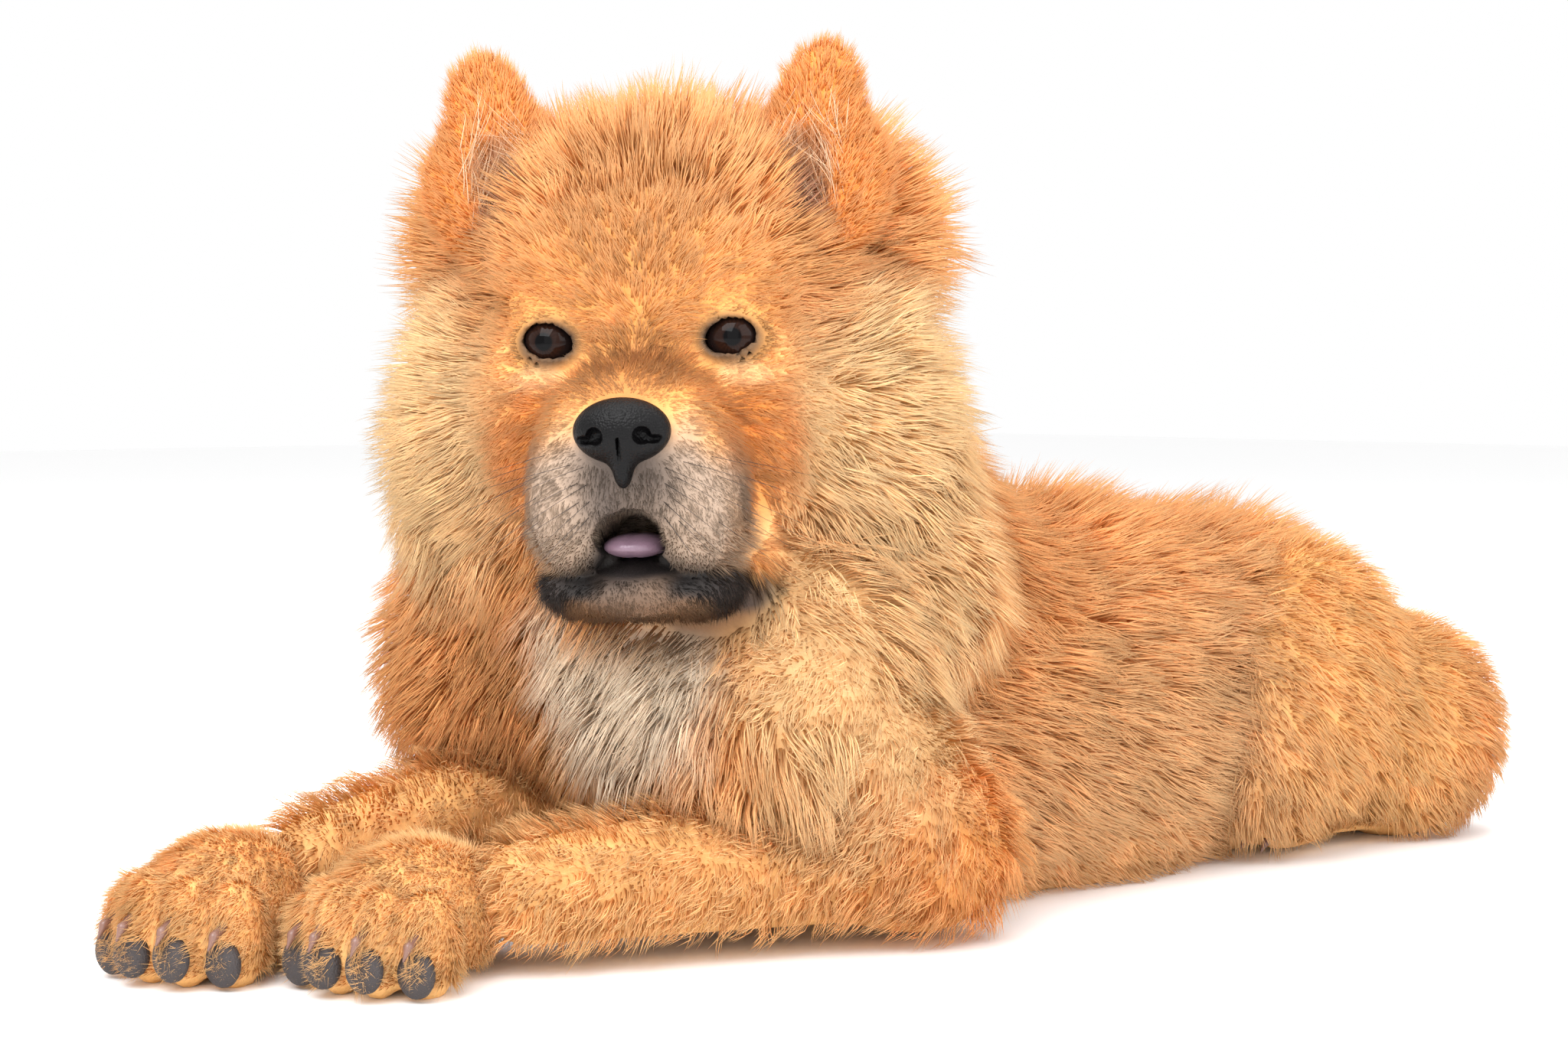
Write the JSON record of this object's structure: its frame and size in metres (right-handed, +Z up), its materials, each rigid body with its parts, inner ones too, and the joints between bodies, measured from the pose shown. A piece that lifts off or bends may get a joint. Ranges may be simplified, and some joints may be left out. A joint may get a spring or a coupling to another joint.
{
  "type": "chow chow puppy",
  "caption": "Life-size chow chow puppy, lying on its chest with its forelegs out in front and its head turned to its left.",
  "frame": {"origin": "middle of the whole model's underside, on the floor", "axes": "+Y along the body towards the rump, with the muzzle end at -Y; +X towards the animal's own left; +Z up"},
  "size_m": [0.2208, 0.5934, 0.3064],
  "materials": {
    "coat": "long soft red-gold fur",
    "cream_coat": "long woolly cream fur",
    "mask_coat": "short dark fur",
    "nose_leather": "moist pebbled black skin",
    "eye": "wet dark brown eye",
    "tongue": "moist blue-grey skin"
  },
  "bodies": {
    "root": {"eye_left": "eye", "eye_right": "eye", "nose": "nose_leather", "tongue": "tongue", "lower_jaw": "mask_coat", "ear_left": "coat", "ear_right": "coat", "head": "coat", "paw_front_left": "coat", "paw_front_right": "coat", "foreleg_left": "coat", "foreleg_right": "coat", "neck": "cream_coat", "hind_foot_left": "coat", "hind_foot_right": "coat", "thigh_left": "coat", "thigh_right": "coat", "tail": "cream_coat", "torso": "coat"}
  },
  "joints": []
}
